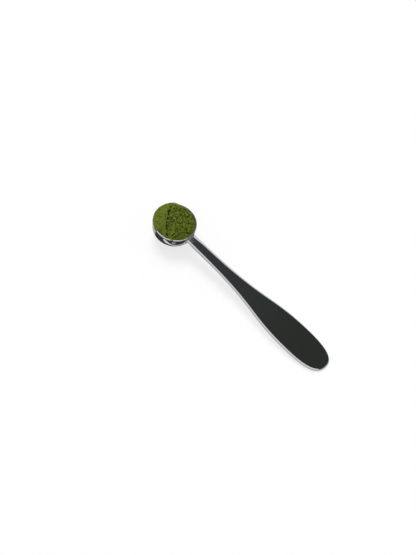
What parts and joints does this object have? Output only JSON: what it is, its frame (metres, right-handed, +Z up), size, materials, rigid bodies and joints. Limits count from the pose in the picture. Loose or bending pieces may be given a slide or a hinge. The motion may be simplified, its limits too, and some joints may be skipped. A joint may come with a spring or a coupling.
{
  "type": "matcha measuring spoon",
  "caption": "Long-handled measuring spoon: deep round thin-walled scoop holding heaped powder, welded to a flat polished handle that flares into a paddle.",
  "frame": {"origin": "on the table under the middle of the spoon's bounding box, the spoon lying on its scoop and on the end of its handle", "axes": "+X from the scoop to the handle's end, +Z up from the table, +Y to the left when looking along +X"},
  "size_m": [0.1566, 0.03, 0.0186],
  "materials": {
    "polished_steel": "polished",
    "handle_steel": "polished",
    "weld_steel": "gloss",
    "matcha": "matte"
  },
  "bodies": {
    "spoon": {"scoop_bowl": "polished_steel", "handle": "handle_steel", "weld_seam": "weld_steel"},
    "serving": {"matcha_powder": "matcha"}
  },
  "joints": [
    {"name": "powder_lift", "type": "slide", "parent": "spoon", "child": "serving", "axis": [0.0962, 0, 0.9954], "range_m": [0, 0.03]}
  ]
}
